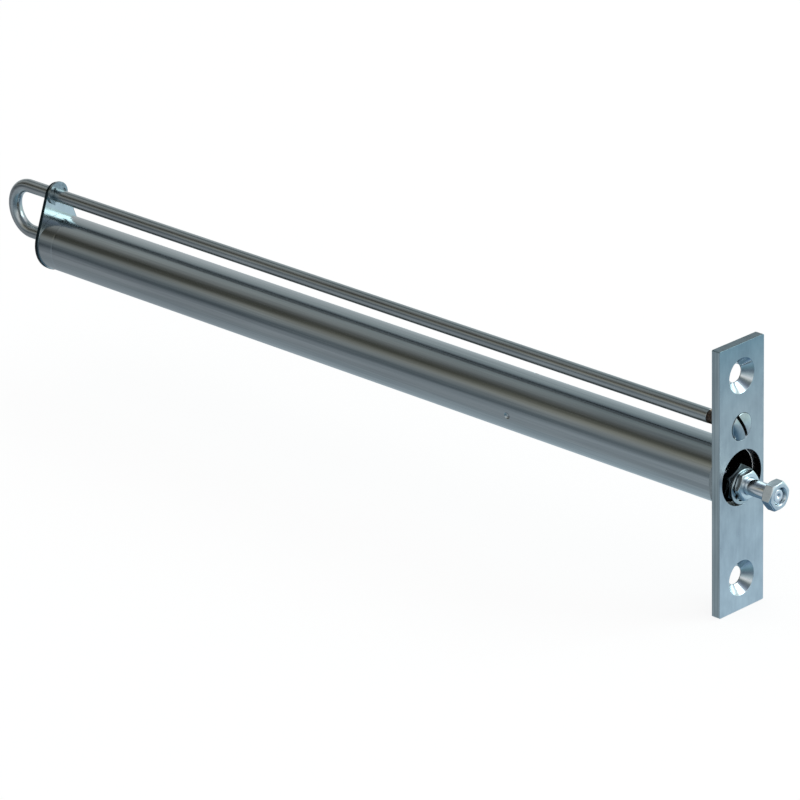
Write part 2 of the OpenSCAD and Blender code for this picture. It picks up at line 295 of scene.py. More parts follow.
def metalFinish(name, look):
    # a surface whose colour, gloss and height change with its grain and with broad patches;
    # sizes and heights are in mm
    material, tree = newTree(name)
    place = addNode(tree, "ShaderNodeTexCoord")
    grainPlace = addNode(tree, "ShaderNodeMapping",
                         {"Scale": look.get("grainStretch", noStretch)},
                         {"Vector": place.outputs["Object"]})
    grain = addNode(tree, "ShaderNodeTexNoise",
                    {"Scale": perMetre(look["grainSize"]), "Detail": 4.0, "Roughness": 0.6},
                    {"Vector": grainPlace.outputs["Vector"]})
    patchPlace = addNode(tree, "ShaderNodeMapping",
                         {"Scale": look.get("patchStretch", noStretch)},
                         {"Vector": place.outputs["Object"]})
    patches = addNode(tree, "ShaderNodeTexNoise",
                      {"Scale": perMetre(look["patchSize"]), "Detail": 3.0, "Roughness": 0.55},
                      {"Vector": patchPlace.outputs["Vector"]})
    both = addNode(tree, "ShaderNodeMix", {"Factor": look["patchShare"]},
                   {"A": grain.outputs["Fac"], "B": patches.outputs["Fac"]})
    spread = addNode(tree, "ShaderNodeMapRange",
                     {"From Min": 0.35, "From Max": 0.65}, {"Value": both.outputs["Result"]})
    # a colour Mix has its colours at inputs 6 and 7 and its result at output 2
    colour = addNode(tree, "ShaderNodeMix",
                     {6: linear(look["dark"]), 7: linear(look["light"])},
                     {"Factor": spread.outputs["Result"]}, data_type="RGBA")
    if "paintedShadeByHeight" in look:
        # painted shade: the colour changes with height, by shades given at heights in mm
        low, high = look["paintedShadeByHeight"][0][0], look["paintedShadeByHeight"][-1][0]
        height = addNode(tree, "ShaderNodeSeparateXYZ", links={0: place.outputs["Object"]})
        risen = addNode(tree, "ShaderNodeMapRange",
                        {"From Min": low * mm, "From Max": high * mm},
                        {"Value": height.outputs["Z"]})
        paintedShade = addNode(tree, "ShaderNodeValToRGB", links={0: risen.outputs["Result"]})
        fillRamp(paintedShade, [((at - low) / (high - low), shade) for at, shade in look["paintedShadeByHeight"]])
        colour = addNode(tree, "ShaderNodeMix", {"Factor": 1.0},
                         {6: colour.outputs[2], 7: paintedShade.outputs[0]},
                         data_type="RGBA", blend_type="MULTIPLY")
    gloss = addNode(tree, "ShaderNodeMapRange",
                    {"From Min": 0.3, "From Max": 0.7,
                     "To Min": look["roughness"][0], "To Max": look["roughness"][1]},
                    {"Value": both.outputs["Result"]})
    bump = addNode(tree, "ShaderNodeBump",
                   {"Strength": look["bump"], "Distance": look["bumpHeight"] * mm},
                   {"Height": grain.outputs["Fac"]})
    shader = addNode(tree, "ShaderNodeBsdfPrincipled",
                     {"Metallic": look.get("metallic", 1.0)},
                     {"Base Color": colour.outputs[2],
                      "Roughness": gloss.outputs["Result"],
                      "Normal": bump.outputs["Normal"]})
    addNode(tree, "ShaderNodeOutputMaterial", links={"Surface": shader.outputs["BSDF"]})
    return material


print("Materials")

# Cold-rolled steel plate with a blue-passivated zinc coat: satin, pale and bluish, with
# faint upright rolling lines and cloudy patches, and painted shade, darker and greener to the
# top
plateZinc = metalFinish("zincPlatedPlate", {
    "light": "#D9E1E7", "dark": "#C0C9D0", "roughness": (0.26, 0.38),
    "grainSize": 1.3, "grainStretch": (1, 1, 0.12),
    "patchSize": 9, "patchStretch": (1, 1, 0.7), "patchShare": 0.75,
    "bump": 0.12, "bumpHeight": 0.006,
    # painted shade: white at the bottom, darker and greener towards the top
    "paintedShadeByHeight": [(-67, "#FFFFFF"), (-30, "#F0F0F1"), (8, "#E5E4E2"), (35, "#E0DFDE"),
              (67, "#AEC0C6")]})

# The strip's rolled long edges: duller than its face, with fine lines along them
rolledEdge = metalFinish("zincOverRolledEdge", {
    "light": "#C4D0D5", "dark": "#8D9A9F", "roughness": (0.26, 0.4),
    "grainSize": 1.2, "grainStretch": (1, 1, 0.015),
    "patchSize": 9, "patchStretch": (1, 1, 0.5), "patchShare": 0.3,
    "bump": 0.3, "bumpHeight": 0.02})

# The same plate where a drill and a countersink cut it: turned faces under thin zinc, far
# glossier than the rolled face, with sharp wedges of light
drilledZinc = metalFinish("zincOverDrilledSteel", {
    "light": "#D6DCE0", "dark": "#BFC6CB", "roughness": (0.12, 0.18),
    "grainSize": 0.5, "grainStretch": (4, 0.6, 0.6), "patchSize": 3, "patchShare": 0.4,
    "bump": 0.06, "bumpHeight": 0.004})

# Sheared ends of the strip: torn, rougher and darker, with thin zinc
shearedEdge = metalFinish("zincOverShearedEdge", {
    "light": "#9AA5AB", "dark": "#7C878D", "roughness": (0.36, 0.5),
    "grainSize": 0.8, "grainStretch": (0.2, 1, 1), "patchSize": 4, "patchShare": 0.5,
    "bump": 0.3, "bumpHeight": 0.02})

# Stamped sheet with the same coat, smoother and glossier than the thick plate
endPlateZinc = metalFinish("zincPlatedSheet", {
    "light": "#D8E0E1", "dark": "#C8D0D2", "roughness": (0.14, 0.2),
    "grainSize": 2.4, "grainStretch": (1, 1, 0.3), "patchSize": 9, "patchShare": 0.7,
    "bump": 0.02, "bumpHeight": 0.003})

# The sheet's punched rim, coloured near black as painted shade for the shade it lies in
rimPaintedShade = metalFinish("punchedRimPaintedShade", {
    "light": "#2C3A3F", "dark": "#151E22", "roughness": (0.3, 0.45),
    "grainSize": 0.6, "grainStretch": (0.3, 1, 1), "patchSize": 3, "patchShare": 0.5,
    "bump": 0.2, "bumpHeight": 0.01})

# Cold-drawn tube, zinc-plated: nearly a mirror, with drawing lines along its length that
# break the reflections into streaks
tubeZinc = metalFinish("drawnZincTube", {
    "light": "#B8BDC0", "dark": "#9DA3A7", "roughness": (0.12, 0.22),
    "grainSize": 1.1, "grainStretch": (0.012, 1, 1),
    "patchSize": 16, "patchStretch": (0.12, 1, 1), "patchShare": 0.4,
    "bump": 0.3, "bumpHeight": 0.014})

# The tube's bore: bare drawn steel, coloured near black as painted shade for the dark hollow
paintedHollowShade = metalFinish("paintedShadeInHollows", {
    "light": "#33302F", "dark": "#171516", "roughness": (0.15, 0.4), "metallic": 0.8,
    "grainSize": 2.0, "grainStretch": (0.4, 1, 1), "patchSize": 6, "patchShare": 0.6,
    "bump": 0.4, "bumpHeight": 0.03})

# The tube's sawn end: short scratches scatter the light, so it shows pale in the dark mouth
sawnEnd = metalFinish("sawnTubeEnd", {
    "light": "#F2F3F3", "dark": "#CDD2D4", "roughness": (0.4, 0.55), "metallic": 0.4,
    "grainSize": 0.5, "patchSize": 3, "patchShare": 0.5, "bump": 0.2, "bumpHeight": 0.008})

# Drawn steel rod, polished: fine lines along it, a little darker than zinc
bowSteel = metalFinish("polishedDrawnRod", {
    "light": "#BCC0C2", "dark": "#A0A4A7", "roughness": (0.17, 0.27),
    "grainSize": 0.6, "grainStretch": (0.02, 1, 1),
    "patchSize": 5, "patchStretch": (0.1, 1, 1), "patchShare": 0.4,
    "bump": 0.3, "bumpHeight": 0.01})

# The bow's cut thread, oiled and brown, and darkened as painted shade for the plate's shadow
oiledThreadPaintedShade = metalFinish("oiledCutThreadPaintedShade", {
    "light": "#937F73", "dark": "#493D37", "roughness": (0.12, 0.24),
    "grainSize": 1.2, "patchSize": 2, "patchShare": 0.5, "bump": 0.2, "bumpHeight": 0.006})

# Turned steel, bright-plated: the whitest metal here, with sharp small reflections
studSteel = metalFinish("brightTurnedStud", {
    "light": "#EEF0F4", "dark": "#DCDFE4", "roughness": (0.11, 0.18),
    "grainSize": 0.5, "grainStretch": (3, 1, 1), "patchSize": 3, "patchShare": 0.5,
    "bump": 0.08, "bumpHeight": 0.004})

# Pressed nuts with bright zinc: smooth faces that shine softly
nutZinc = metalFinish("brightZincNuts", {
    "light": "#EAF1F4", "dark": "#D2DCE1", "roughness": (0.27, 0.36),
    "grainSize": 1.2, "patchSize": 3, "patchShare": 0.7, "bump": 0.08, "bumpHeight": 0.004})

# The outer nut, turned and plated brighter than the pressed ones
turnedNutZinc = metalFinish("brightTurnedNut", {
    "light": "#DEE4E8", "dark": "#C6CDD2", "roughness": (0.12, 0.2),
    "grainSize": 0.6, "patchSize": 3, "patchShare": 0.6, "bump": 0.06, "bumpHeight": 0.004})

# The nut in the mouth, coloured dark as painted shade for the mouth's shade it sits in
nutPaintedShade = metalFinish("zincNutPaintedShade", {
    "light": "#575F63", "dark": "#262B2E", "roughness": (0.14, 0.28),
    "grainSize": 2.0, "patchSize": 3, "patchShare": 0.6, "bump": 0.1, "bumpHeight": 0.006})

# Hardened washer, zinc-plated: duller and darker than the nuts
washerZinc = metalFinish("zincToothWasher", {
    "light": "#D2DADD", "dark": "#A6B0B4", "roughness": (0.24, 0.34),
    "grainSize": 1.2, "patchSize": 3, "patchShare": 0.6, "bump": 0.1, "bumpHeight": 0.006})

# Spring clip, zinc-plated after hardening: darker and greyer than the nuts
clipZinc = metalFinish("zincSpringClip", {
    "light": "#AFB9BD", "dark": "#8C979B", "roughness": (0.16, 0.26),
    "grainSize": 1.5, "patchSize": 3, "patchShare": 0.6, "bump": 0.08, "bumpHeight": 0.004})

# Ground and hard-chromed rod: smooth, with the faintest rings round it
rodSteel = metalFinish("groundChromeRod", {
    "light": "#C2C7CB", "dark": "#ACB1B6", "roughness": (0.1, 0.16),
    "grainSize": 0.5, "grainStretch": (4, 0.4, 0.4), "patchSize": 8, "patchShare": 0.4,
    "bump": 0.1, "bumpHeight": 0.003})

# Turned sleeve nut, thinly zinc-plated: a smooth domed head
slottedSteel = metalFinish("zincSlottedNut", {
    "light": "#B9BFC2", "dark": "#9FA6A9", "roughness": (0.1, 0.16),
    "grainSize": 1.4, "patchSize": 4, "patchShare": 0.6, "bump": 0.08, "bumpHeight": 0.004})

# Weld bead under the zinc: rougher and greyer, with uneven gloss
weldBead = metalFinish("zincedWeldBead", {
    "light": "#B4BBBE", "dark": "#888F92", "roughness": (0.3, 0.48),
    "grainSize": 0.8, "patchSize": 3, "patchShare": 0.5, "bump": 0.4, "bumpHeight": 0.05})

# Turned brass: warm yellow, dulled by oil
brass = metalFinish("oiledTurnedBrass", {
    "light": "#C09B56", "dark": "#9A7738", "roughness": (0.25, 0.38),
    "grainSize": 0.5, "grainStretch": (3, 0.5, 0.5), "patchSize": 4, "patchShare": 0.5,
    "bump": 0.2, "bumpHeight": 0.006})

# Stamped mild steel, oiled and uncoated
plainSteel = metalFinish("oiledMildSteel", {
    "light": "#8B8D8E", "dark": "#66686A", "roughness": (0.3, 0.45),
    "grainSize": 0.8, "patchSize": 4, "patchShare": 0.5, "bump": 0.25, "bumpHeight": 0.01})

# Spring wire, hardened in oil: blue-black skin with a dull gloss
springSteel = metalFinish("oilHardenedWire", {
    "light": "#54585E", "dark": "#33363B", "roughness": (0.3, 0.42),
    "grainSize": 0.8, "patchSize": 4, "patchShare": 0.5, "bump": 0.2, "bumpHeight": 0.008})

# Moulded nitrile rubber: near black, dull, finely pitted
sealRubber = metalFinish("mouldedNitrile", {
    "light": "#262627", "dark": "#161617", "roughness": (0.5, 0.65), "metallic": 0.0,
    "grainSize": 0.4, "patchSize": 3, "patchShare": 0.4, "bump": 0.3, "bumpHeight": 0.01})

nodeFinishes = {
    "spring_seat": plainSteel, "piston": brass, "seal_retainer": plainSteel,
    "piston_nut": nutZinc, "valve_needle": brass}
for nodeName, finish in nodeFinishes.items():
    nodes[nodeName].data.materials.clear()
    nodes[nodeName].data.materials.append(finish)


print("Fixing plate")
plateSet = {"thickness": 4.8, "width": 31, "height": 134, "cornerRadius": 0.6,
            "edgeRadius": 0.5, "mouthRadius": 13.75, "screwSpacing": 102,
            "screwRadius": 4.5, "sinkDepth": 4.25, "nutHeight": 25.5,
            "nutBoreRadius": 4.98, "nutSinkDepth": 1.92, "rimWidth": 0.5, "endDepth": 3,
            "faceShare": 0.95, "wallShare": 0.6, "paintedShadeWidth": 0.15}


def sinkCutter(radius, depth, height):
    # a hole through the plate with a cone of that depth at its front
    front = plateSet["thickness"]
    return turnPiece("cutter", [
        (-past, radius), (front - depth, radius), (front + past, radius + depth + past)],
        height)


plate = cubePiece("fixingPlate", (plateSet["thickness"] / 2, 0, 0),
                  (plateSet["thickness"], plateSet["width"], plateSet["height"]))
selectEdges(plate, lambda a, b: abs(a.x - b.x) > slack)
startEdit(plate, "EDGE")
bpy.ops.mesh.bevel(offset=plateSet["cornerRadius"] * mm, segments=4, affect="EDGES")
endEdit()
combine(plate, turnPiece("cutter", [
    (-past, plateSet["mouthRadius"]), (plateSet["thickness"] + past, plateSet["mouthRadius"])]))
for side in (-1, 1):
    combine(plate, sinkCutter(plateSet["screwRadius"], plateSet["sinkDepth"],
                              side * plateSet["screwSpacing"] / 2))
combine(plate, sinkCutter(plateSet["nutBoreRadius"], plateSet["nutSinkDepth"],
                          plateSet["nutHeight"]))
bevelEdges(plate, plateSet["edgeRadius"], angle=35)
finishPiece(plate, "housing", ["fixing_plate"], plateZinc)


def inHole(centre, normal):
    # the faces of the four bores and their cones, which lie inside the plate's outline
    return (abs(normal.x) < plateSet["faceShare"]
            and abs(centre.y) < plateSet["mouthRadius"] + plateSet["rimWidth"]
            and abs(centre.z) < plateSet["height"] / 2 - plateSet["endDepth"])


addFinish(plate, drilledZinc, inHole)
# painted shade: the mouth's wall is coloured near black for the dark inside the hole
addFinish(plate, paintedHollowShade, lambda centre, normal: abs(normal.x) < plateSet["wallShare"]
          and fromAxis(centre) < plateSet["mouthRadius"] + plateSet["paintedShadeWidth"])
addFinish(plate, shearedEdge, lambda centre, normal: abs(normal.z) > squareOn
          and abs(centre.z) > plateSet["height"] / 2 - slack)
addFinish(plate, rolledEdge, lambda centre, normal: abs(normal.y) > squareOn
          and abs(centre.y) > plateSet["width"] / 2 - slack)


print("Weld bead")
# the bead's face goes through points given as shares of its length and of its leg
weldSet = {"gap": 0.02, "tubeRadius": 15.02, "leg": 2.5, "length": 2.1, "toe": 0.06,
           "face": ((0.3, 0.82), (0.65, 0.45)), "sides": 220, "ripple": 0.35,
           "rippleSize": 1.3, "rippleLevel": 0.6, "halfWidth": 15.45}
front, length = -weldSet["gap"], weldSet["length"]
root, leg = weldSet["tubeRadius"], weldSet["leg"]
face = [(-along * length, root + up * leg) for along, up in weldSet["face"]]
weld = turnPiece("plateWeld", [
    (front, root), (front, root + leg), *face, (-length, root + weldSet["toe"]),
    (-length, root), (front, root)], sides=weldSet["sides"], closed=True)
ripple = bpy.data.textures.new("weldRipple", "CLOUDS")
ripple.noise_scale = weldSet["rippleSize"] * mm
lift = weld.modifiers.new("ripple", "DISPLACE")
lift.texture = ripple
lift.strength = weldSet["ripple"] * mm
lift.mid_level = weldSet["rippleLevel"]
applyModifier(weld, lift)
for side in (-1, 1):
    startEdit(weld)
    bpy.ops.mesh.select_all(action="SELECT")
    bpy.ops.mesh.bisect(plane_co=(0, side * weldSet["halfWidth"] * mm, 0),
                        plane_no=(0, side, 0), use_fill=True, clear_outer=True)
    endEdit()
finishPiece(weld, "housing", ["plate_weld"], weldBead)


print("Tube")
tubeSet = {"radius": 15, "boreRadius": 13, "length": 468, "sides": 128, "edge": 0.3,
           "rimRadius": 13.5, "rimShare": 0.5, "markX": -457.4, "markDepth": 0.08,
           "markHalf": (0.3, 1.1), "ridgeRise": 0.5, "ridgeHalf": (0.4, 0.8),
           "dimpleX": -131, "dimpleHalf": 3, "dimpleRadius": 2.2, "dimpleCentre": 16.3,
           "dimpleAngles": (187, 307, 67)}
outer, bore, rear = tubeSet["radius"], tubeSet["boreRadius"], -tubeSet["length"]
mark, deep = tubeSet["markX"], outer - tubeSet["markDepth"]
markFlat, markHalf = tubeSet["markHalf"]
ridgeFlat, ridgeHalf = tubeSet["ridgeHalf"]
ridge = bore - tubeSet["ridgeRise"]
dimpleX, dimpleHalf = tubeSet["dimpleX"], tubeSet["dimpleHalf"]
tube = turnPiece("cylinderTube", soften([
    (rear, outer), (mark - markHalf, outer), (mark - markFlat, deep), (mark + markFlat, deep),
    (mark + markHalf, outer), (dimpleX - dimpleHalf, outer), (dimpleX + dimpleHalf, outer),
    (0, outer), (0, tubeSet["rimRadius"]), (0, bore), (mark + ridgeHalf, bore),
    (mark + ridgeFlat, ridge), (mark - ridgeFlat, ridge), (mark - ridgeHalf, bore),
    (rear, bore)], tubeSet["edge"], True), sides=tubeSet["sides"], closed=True)
for angle in tubeSet["dimpleAngles"]:
    a = math.radians(angle)
    deselectAll()
    bpy.ops.mesh.primitive_uv_sphere_add(
        segments=32, ring_count=20, radius=tubeSet["dimpleRadius"] * mm,
        location=(dimpleX * mm, tubeSet["dimpleCentre"] * math.cos(a) * mm,
                  tubeSet["dimpleCentre"] * math.sin(a) * mm))
    dimple = named("cutter")
    applyPlace(dimple)
    combine(tube, dimple)
finishPiece(tube, "housing", ["cylinder_tube"], tubeZinc, angle=28)
# painted shade: the bore is coloured near black for the dark inside the tube
addFinish(tube, paintedHollowShade, lambda centre, normal: fromAxis(centre) < bore + slack)
addFinish(tube, sawnEnd, lambda centre, normal: normal.x > tubeSet["rimShare"]
          and centre.x > -tubeSet["edge"] and fromAxis(centre) < tubeSet["rimRadius"])


print("End plate and plug")
endSet = {"x": (-470, -468), "radius": 15.6, "tipRadius": 6.8, "tipHeight": 25.5,
          "bowHole": 3.58, "plugHole": 6.24, "edge": 0.3, "faceShare": 0.98}
x0, x1 = endSet["x"]
endPlate = joinPieces([
    turnPiece("endPlate", [(x0, endSet["radius"]), (x1, endSet["radius"])]),
    turnPiece("tip", [(x0, endSet["tipRadius"]), (x1, endSet["tipRadius"])],
              endSet["tipHeight"])])
startEdit(endPlate)
bpy.ops.mesh.select_all(action="SELECT")
bpy.ops.mesh.convex_hull()
bpy.ops.mesh.select_all(action="SELECT")
bpy.ops.mesh.dissolve_limited(angle_limit=math.radians(0.5))
endEdit()
for radius, height in ((endSet["bowHole"], endSet["tipHeight"]), (endSet["plugHole"], 0)):
    combine(endPlate, turnPiece("cutter", [(x0 - past, radius), (x1 + past, radius)], height))
bevelEdges(endPlate, endSet["edge"], angle=35)
finishPiece(endPlate, "housing", ["end_plate"], endPlateZinc)
# painted shade: the rim faces are coloured near black
addFinish(endPlate, rimPaintedShade, lambda centre, normal: abs(normal.x) < endSet["faceShare"])

# the plug's rim is peened over the end plate, so it is slightly domed
plugSet = {"edge": 0.15, "outline": [
    (-471, 3.8), (-471, 6.0), (-470.5, 6.75), (-470.05, 6.95), (-470, 6.2), (-468, 6.2),
    (-468, 12.96), (-458.7, 12.96), (-458.7, 12.2), (-456.1, 12.2), (-456.1, 12.96),
    (-449.75, 12.96), (-449.75, 10.82), (-447.25, 10.82), (-447.25, 12.96), (-442, 12.96),
    (-442, 9.04), (-443, 9.04), (-443, 0.8), (-444, 0.8), (-444, 1.28), (-452, 1.28),
    (-452, 3.8)]}
plug = turnPiece("endPlug", soften(plugSet["outline"], plugSet["edge"], True), closed=True)
finishPiece(plug, "housing", ["end_plug"], brass)


print("Seals and bush")
sealSet = {"x": -448.5, "middle": 11.91, "radius": 1.05, "points": 20}
section = []
for i in range(sealSet["points"]):
    a = 2 * math.pi * i / sealSet["points"]
    section.append((sealSet["x"] + sealSet["radius"] * math.cos(a),
                    sealSet["middle"] + sealSet["radius"] * math.sin(a)))
seal = turnPiece("plugSeal", section + section[:1], closed=True)
finishPiece(seal, "housing", ["plug_seal"], sealRubber, angle=60)

bumperSet = {"x": (-443, -439.5), "bore": 3, "radius": 9, "edge": 0.7}
x0, x1 = bumperSet["x"]
bumper = turnPiece("endBumper", soften([
    (x0, bumperSet["bore"]), (x0, bumperSet["radius"]), (x1, bumperSet["radius"]),
    (x1, bumperSet["bore"])], bumperSet["edge"], True), closed=True)
finishPiece(bumper, "housing", ["end_bumper"], sealRubber, angle=60)

# the cup's lip points back, where the air is trapped, and lies on the tube's bore
cupSet = {"edge": 0.3, "bore": 4.04, "boreHeight": -3, "outline": [
    (-431.2, 1), (-431.2, 11.2), (-437.6, 11.9), (-438.2, 12.4), (-438.2, 12.9),
    (-436.5, 12.9), (-432, 12.6), (-429.2, 12.6), (-429.2, 1)]}
x0, x1 = cupSet["outline"][0][0], cupSet["outline"][-1][0]
cup = turnPiece("cupSeal", soften(cupSet["outline"], cupSet["edge"]))
combine(cup, turnPiece("cutter", [
    (x0 - past, cupSet["bore"]), (x1 + past, cupSet["bore"])], cupSet["boreHeight"]))
finishPiece(cup, "rod", ["cup_seal"], sealRubber, angle=50)

bushSet = {"x": (-139, -123), "radius": 12.96, "groove": (-133.3, -128.7),
           "grooveRadius": 11.7, "bore": 5.08, "boreHeight": -3, "edge": 0.4}
x0, x1 = bushSet["x"]
grooveRear, grooveFront = bushSet["groove"]
bush = turnPiece("guideBush", [
    (x0, bushSet["radius"]), (grooveRear, bushSet["radius"]),
    (grooveRear, bushSet["grooveRadius"]), (grooveFront, bushSet["grooveRadius"]),
    (grooveFront, bushSet["radius"]), (x1, bushSet["radius"])])
combine(bush, turnPiece("cutter", [
    (x0 - past, bushSet["bore"]), (x1 + past, bushSet["bore"])], bushSet["boreHeight"]))
bevelEdges(bush, bushSet["edge"], segments=2)
finishPiece(bush, "housing", ["guide_bush"], brass)


windingSteps = 32  # steps in one turn of a winding
wireSides = 14  # sides of a spring's wire
ridgeShare = 0.92  # how much of its pitch a thread's ridge fills


def wind(piece, pitch, turns, endSides):
    # winds a section along X by a Screw modifier and closes its two ends, by their sides
    winding = piece.modifiers.new("winding", "SCREW")
    winding.axis = "X"
    winding.screw_offset = pitch * mm
    winding.iterations = turns
    winding.steps = winding.render_steps = windingSteps
    applyModifier(piece, winding)
    startEdit(piece)
    bpy.ops.mesh.select_all(action="SELECT")
    bpy.ops.mesh.fill_holes(sides=endSides)
    endEdit()
    faceOutwards(piece)


print("Springs")
# each spring is wound at one length; its joint, fixed end, moving end and stroke are listed
# with it
springSets = {
    "mainSpring": {"node": "main_spring", "x": (-417.7, -142.0), "turns": 29, "middle": 10.6,
                   "wire": 2.8, "joint": "rod_slide", "fixedEnd": -140.5,
                   "movingEnd": -419.2, "stroke": 150},
    "needleSpring": {"node": "needle_spring", "x": (-464.12, -452.36), "turns": 6,
                     "middle": 3.2, "wire": 0.6, "joint": "adjust_slide",
                     "fixedEnd": -452, "movingEnd": -464.5, "stroke": 5}}
for name, springSet in springSets.items():
    x0, x1 = springSet["x"]
    deselectAll()
    bpy.ops.mesh.primitive_circle_add(
        vertices=wireSides, radius=springSet["wire"] / 2 * mm, rotation=(math.pi / 2, 0, 0),
        location=(x0 * mm, 0, springSet["middle"] * mm))
    spring = named(name)
    applyPlace(spring)
    wind(spring, (x1 - x0) / springSet["turns"], springSet["turns"], wireSides)
    finishPiece(spring, "housing", [springSet["node"]], springSteel, angle=50)
    length = springSet["fixedEnd"] - springSet["movingEnd"]
    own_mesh(spring)


def threadRidge(x0, x1, core, outside, pitch, height):
    # a thread's ridge, wound from an even triangle whose foot lies in the core; a triangle
    # of corner radius 1 is 1.5 high and as wide as the root of 3
    size = (outside - core + slack) / 1.5
    deselectAll()
    bpy.ops.mesh.primitive_circle_add(
        vertices=3, radius=size * mm, location=(x0 * mm, 0, (outside - size) * mm),
        rotation=(math.pi / 2, 0, 0))
    piece = named("thread")
    piece.scale = (ridgeShare * pitch / (math.sqrt(3) * size), 1, 1)
    applyPlace(piece)
    wind(piece, pitch, round((x1 - x0) / pitch), endSides=3)
    piece.location = (0, 0, height * mm)
    applyPlace(piece)
    return piece


print("Piston rod and stud")
rodSet = {"radius": 5, "height": -3, "front": 5.2, "shoulder": -419.2, "spigotEnd": -437.7,
          "spigotRadius": 4, "spigotSlope": 0.5, "edge": 0.2, "threadRear": -13,
          "threadSlope": 1, "threadFront": 3.5, "threadCore": 4.45, "threadRadius": 4.98,
          "threadPitch": 1.5}
rod = turnPiece("pistonRod", soften([
    (rodSet["spigotEnd"], rodSet["spigotRadius"] - rodSet["spigotSlope"]),
    (rodSet["spigotEnd"] + rodSet["spigotSlope"], rodSet["spigotRadius"]),
    (rodSet["shoulder"], rodSet["spigotRadius"]), (rodSet["shoulder"], rodSet["radius"]),
    (rodSet["threadRear"] - rodSet["threadSlope"], rodSet["radius"]),
    (rodSet["threadRear"], rodSet["threadCore"]), (rodSet["front"], rodSet["threadCore"])],
    rodSet["edge"]), rodSet["height"])
rodThread = threadRidge(rodSet["threadRear"], rodSet["threadFront"], rodSet["threadCore"],
                        rodSet["threadRadius"], rodSet["threadPitch"], rodSet["height"])
rod = joinPieces([rod, rodThread])
finishPiece(rod, "rod", ["piston_rod"], rodSteel)

studSet = {"radius": 4, "height": -3, "rear": 5.2, "front": 27.3, "tailRadius": 3,
           "tailEnd": -9.8, "tipSlope": 1.0, "drillRadius": 1.3, "drillDepth": 0.8,
           "drillTip": 0.2, "edge": 0.25}
stud = turnPiece("linkStud", soften([
    (studSet["tailEnd"], studSet["tailRadius"]), (studSet["rear"], studSet["tailRadius"]),
    (studSet["rear"], studSet["radius"]),
    (studSet["front"] - studSet["tipSlope"], studSet["radius"]),
    (studSet["front"], studSet["radius"] - studSet["tipSlope"]),
    (studSet["front"], studSet["drillRadius"]),
    (studSet["front"] - studSet["drillDepth"], studSet["drillTip"])], studSet["edge"]),
    studSet["height"])
finishPiece(stud, "rod", ["link_stud"], studSteel)


print("Nuts")
nutSets = {
    # the rod nut's dark finish is painted shade for the mouth it sits in
    "rodNut": {"node": "rod_nut", "x": (0.2, 5.2), "flats": 17, "corner": 88, "bore": 5.04,
               "finish": nutPaintedShade},
    "thinNut": {"node": "thin_nut", "x": (6.2, 9.8), "flats": 13, "corner": 64, "bore": 4.04,
                "finish": nutZinc},
    "endNut": {"node": "end_nut", "x": (22.5, 28.3), "flats": 13, "corner": 66, "bore": 4.04,
               "finish": turnedNutZinc}}
nutShape = {"height": -3, "slope": 30, "faceShare": 0.91, "cornerGap": 0.05,
            "faceGap": 0.001, "boreSlope": 0.5, "edge": 0.2}
for name, nutSet in nutSets.items():
    x0, x1 = nutSet["x"]
    cornerRadius = nutSet["flats"] / math.sqrt(3) + nutShape["cornerGap"]
    faceRadius = nutSet["flats"] / 2 * nutShape["faceShare"]
    slope = (cornerRadius - faceRadius) * math.tan(math.radians(nutShape["slope"]))
    nut = hexBar(name, x0, x1, nutSet["flats"], nutSet["corner"], nutShape["height"])
    combine(nut, turnPiece("turned", [
        (x0 - nutShape["faceGap"], faceRadius), (x0 + slope, cornerRadius),
        (x1 - slope, cornerRadius), (x1 + nutShape["faceGap"], faceRadius)],
        nutShape["height"]), "INTERSECT")
    bore, boreSlope = nutSet["bore"], nutShape["boreSlope"]
    combine(nut, turnPiece("cutter", [
        (x0 - past, bore + boreSlope + past), (x0 + boreSlope, bore), (x1 - boreSlope, bore),
        (x1 + past, bore + boreSlope + past)], nutShape["height"]))
    bevelEdges(nut, nutShape["edge"])
    finishPiece(nut, "rod", [nutSet["node"]], nutSet["finish"])


print("Tooth washer")
washerSet = {"x": (5.2, 6.2), "radius": 8.65, "ringRadius": 7.1, "edge": 0.2,
             "height": -4.16, "teeth": 10, "toothEnd": 5.2, "toothRoot": 7.4,
             "toothWidth": 1.6, "toothThickness": 0.6, "toothEdge": 0.15, "twist": 12}
x0, x1 = washerSet["x"]
washerParts = [turnPiece("toothWasher", soften([
    (x0, washerSet["ringRadius"]), (x0, washerSet["radius"]), (x1, washerSet["radius"]),
    (x1, washerSet["ringRadius"])], washerSet["edge"], True), washerSet["height"],
    closed=True)]
toothLength = washerSet["toothRoot"] - washerSet["toothEnd"]
tooth = cubePiece("tooth", ((x0 + x1) / 2, 0, washerSet["toothEnd"] + toothLength / 2),
                  (washerSet["toothThickness"], washerSet["toothWidth"], toothLength))
bevelEdges(tooth, washerSet["toothEdge"], segments=2)
middleX = Matrix.Translation(((x0 + x1) / 2 * mm, 0, 0))
tilt = Matrix.Rotation(math.radians(washerSet["twist"]), 4, "Z")
twist = middleX @ tilt @ middleX.inverted()
lowered = Matrix.Translation((0, 0, washerSet["height"] * mm))
for i in range(washerSet["teeth"]):
    part = tooth.copy()
    part.data = tooth.data.copy()
    bpy.context.scene.collection.objects.link(part)
    around = Matrix.Rotation(2 * math.pi * i / washerSet["teeth"], 4, "X")
    part.matrix_world = lowered @ around @ twist
    applyPlace(part)
    washerParts.append(part)
bpy.data.objects.remove(tooth)
washer = joinPieces(washerParts)
finishPiece(washer, "rod", ["tooth_washer"], washerZinc)


